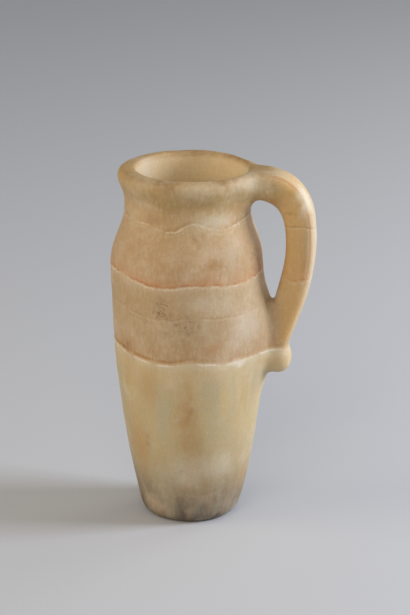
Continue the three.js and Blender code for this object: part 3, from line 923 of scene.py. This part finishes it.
curl_noise = add(veins, "TexNoise", {"Vector": point, "Scale": 1 / CURL_SIZE, "Detail": 2.0,
                                     "Roughness": 0.6})
off_middle = add(veins, "Math", {0: curl_noise, 1: 0.5}, operation="SUBTRACT")
off_middle = add(veins, "Math", {0: off_middle}, operation="ABSOLUTE")
curl = add(veins, "MapRange", {"Value": off_middle, "From Min": 0.03, "From Max": 0.01})
curl = add(veins, "Math", {0: curl, 1: clustered}, operation="MULTIPLY")
gaps = add(veins, "MapRange", {"Value": ragged, "From Min": 0.48, "From Max": 0.58})
curl = add(veins, "Math", {0: curl, 1: gaps}, operation="MULTIPLY")
pit = add(veins, "Math", {0: pit, 1: curl}, operation="MAXIMUM")
# The vertices' numbers brown the dents with dirt and paint shade into the creases at the joints.
shade_and_dirt_value = add(veins, "Attribute", {}, attribute_name="joint_shade_pit_dirt")
shaded_and_dirty = add(veins, "Math", {0: shade_and_dirt_value.outputs["Fac"], 1: DENT_AND_JOINT_STRENGTH}, operation="MULTIPLY")
shaded_and_dirty = add(veins, "Math", {0: pit, 1: PIT_STRENGTH, 2: shaded_and_dirty}, operation="MULTIPLY_ADD", use_clamp=True)
look = add(veins, "MixRGB", {"Fac": shaded_and_dirty, "Color1": look, "Color2": linear(PIT_DIRT_AND_SHADE_BROWN)})
print("nodes with the pits:", len(veins.nodes))

# %% [markdown]
# Last come the crystals' fine streaks and the grain, as small changes of brightness, and the same patterns
# as a faint relief, too fine for the mesh. Alabaster was ground with sand and rubbed with a fat cloth, so
# it has the dull shine of wax. Light goes a few millimetres into it before it comes out, redder than it
# went in, which softens every shadow and edge to the eye.

# %% Vary the brightness
# The crystals show most above the two heights on which they grew, and fade out over their reach.
CRYSTAL_FEET = [121.0, 172.5]
CRYSTAL_REACH = 17.0
FOOT_STEP = 2.0
GRAIN_SIZE = 1.3
GRAIN_SWING = 0.24

crystal_show = add(veins, "MapRange", {"Value": bed, "From Min": 112.0, "From Max": 124.0, "To Min": 0.08,
                                       "To Max": 0.16})
for foot in CRYSTAL_FEET:
    grown = add(veins, "MapRange", {"Value": bed, "From Min": foot - FOOT_STEP, "From Max": foot,
                                    "To Max": 0.22})
    going = add(veins, "MapRange", {"Value": bed, "From Min": foot + CRYSTAL_REACH, "From Max": foot},
                interpolation_type="SMOOTHSTEP")
    crystal_show = add(veins, "Math", {0: grown, 1: going, 2: crystal_show}, operation="MULTIPLY_ADD")
streaky = add(veins, "Math", {0: crystals, 1: 0.5}, operation="SUBTRACT")
streaky = add(veins, "Math", {0: streaky, 1: crystal_show, 2: 1.0}, operation="MULTIPLY_ADD")
grain = add(veins, "TexNoise", {"Vector": point, "Scale": 1 / GRAIN_SIZE, "Detail": 2.0, "Roughness": 0.6})
grainy = add(veins, "Math", {0: grain, 1: GRAIN_SWING, 2: -GRAIN_SWING / 2}, operation="MULTIPLY_ADD")
brightness = add(veins, "Math", {0: streaky, 1: grainy}, operation="ADD")
look = add(veins, "HueSaturation", {"Color": look, "Value": brightness, "Saturation": 0.97})
print("feet of crystals:", CRYSTAL_FEET)

# %% Finish the stone
# Heights of the relief and the light's depth are in mm.
CRYSTAL_RELIEF = 0.05
GRAIN_RELIEF = 0.07
PIT_RELIEF = -0.3
LIGHT_DEPTH = 6.0
SHINIEST = 0.45
DULLING = 0.3

relief = add(veins, "Math", {0: crystals, 1: CRYSTAL_RELIEF}, operation="MULTIPLY")
relief = add(veins, "Math", {0: grain, 1: GRAIN_RELIEF, 2: relief}, operation="MULTIPLY_ADD")
relief = add(veins, "Math", {0: pit, 1: PIT_RELIEF, 2: relief}, operation="MULTIPLY_ADD")
bump = add(veins, "Bump", {"Height": relief, "Strength": 1.0, "Distance": MM})
dull = add(veins, "Math", {0: ochre_noise, 1: DULLING, 2: SHINIEST}, operation="MULTIPLY_ADD")
alabaster = add(veins, "BsdfPrincipled", {"Base Color": look, "Roughness": dull, "IOR": 1.57, "Normal": bump,
                                          "Specular IOR Level": 0.3, "Subsurface Weight": 0.35,
                                          "Subsurface Radius": (1.0, 0.55, 0.3),
                                          "Subsurface Scale": LIGHT_DEPTH * MM})
add(veins, "OutputMaterial", {"Surface": alabaster})
pitcher.data.materials.clear()
pitcher.data.materials.append(stone_look)
print("nodes in the stone:", len(veins.nodes))

# %% [markdown]
# The pitcher stands on a plain pale floor with matt paint, large enough that its edge stays far away. Matt
# paint scatters the light evenly and sends some of it back up onto the foot and the knob. A curved backdrop
# would hide the horizon as well, but a flat floor is enough for a camera that looks down.

# %% Lay the floor
FLOOR_SIDE = 8.0
FLOOR_GREY = "#c6c7c9"

rest_all()
bpy.ops.mesh.primitive_plane_add(size=FLOOR_SIDE)
ground = bpy.context.object
ground.name = "floor"
paint = bpy.data.materials.new("matt_paint_rolled")
paint.use_nodes = True
paint_shader = paint.node_tree.nodes["Principled BSDF"]
paint_shader.inputs["Base Color"].default_value = linear(FLOOR_GREY)
paint_shader.inputs["Roughness"].default_value = 0.7
ground.data.materials.append(paint)
print("the floor's side, m:", FLOOR_SIDE)

# %% [markdown]
# The camera is two metres away and looks down on the pitcher by some eighteen degrees, turned a little to
# the side of the handle. A short lens near the pitcher would give the same size, but make its outlines
# lean, so the lens is long. The camera's place comes from the outlines of the foot, the mouth and the
# handle.

# %% Set the camera
CAMERA_PLACE = (0.3392, -1.9235, 0.7909)
CAMERA_PITCH = 71.63
CAMERA_TURN = 9.729
LENS = 181.35
SENSOR = 36.0
FARTHEST = 20.0

lens = bpy.data.cameras.new("camera")
lens.lens = LENS
lens.sensor_fit = "VERTICAL"
lens.sensor_height = SENSOR
lens.clip_end = FARTHEST
camera = bpy.data.objects.new("camera", lens)
camera.location = CAMERA_PLACE
camera.rotation_euler = (math.radians(CAMERA_PITCH), 0, math.radians(CAMERA_TURN))
bpy.context.scene.collection.objects.link(camera)
bpy.context.scene.camera = camera
print("the camera's distance, m:", round(Vector(CAMERA_PLACE).length, 2))

# %% [markdown]
# A slightly cool softbox low on the right is the main light: it lights the handle and the right side, and
# leaves the front in a soft half shade that shows the form. A weaker panel behind it draws a thin bright
# edge on the body within the handle. Two weak warm panels, one in front and one on the left, keep the shade
# open. Area lamps do this better than points or a sun, because their wide faces keep every shadow soft.

# %% Place the lights
# Angles are in degrees round the pitcher, distances and sizes in metres.
Lamp = namedtuple("Lamp", "name azimuth elevation distance size watts colour")
LAMPS = [Lamp("softbox_right", 8, 25, 1.7, 0.6, 27.5, "#e8efff"),
         Lamp("edge_panel", 50, 18, 1.8, 0.8, 6, "#f6f4f0"),
         Lamp("front_panel", -95, 34, 2.0, 1.4, 13, "#fff5e6"),
         Lamp("left_panel", -158, 25, 1.8, 1.2, 10.5, "#ffeed4")]
LAMPS_AIM = Vector((0, 0, 0.12))

for lamp in LAMPS:
    around = math.radians(lamp.azimuth)
    lift = math.radians(lamp.elevation)
    way = Vector((math.cos(around) * math.cos(lift), math.sin(around) * math.cos(lift), math.sin(lift)))
    facing = way.to_track_quat("Z", "Y").to_euler()
    bpy.ops.object.light_add(type="AREA", location=LAMPS_AIM + way * lamp.distance, rotation=facing)
    light = bpy.context.object
    light.name = lamp.name
    light.data.size = lamp.size
    light.data.energy = lamp.watts
    light.data.color = linear(lamp.colour)[:3]
print("lamps:", [lamp.name for lamp in LAMPS])

# %% [markdown]
# The rest of the studio is pale grey walls, which fill the shade from all sides. One even world colour
# stands for them. The plain Standard view keeps the stone's colours as they are set.

# %% Fill the studio with light
WORLD_GREY = "#b9bbbe"
WORLD_STRENGTH = 0.5

world = bpy.data.worlds.new("studio")
world.use_nodes = True
background = world.node_tree.nodes["Background"]
background.inputs["Color"].default_value = linear(WORLD_GREY)
background.inputs["Strength"].default_value = WORLD_STRENGTH
bpy.context.scene.world = world
bpy.context.scene.view_settings.view_transform = "Standard"
print("the world's strength:", WORLD_STRENGTH)
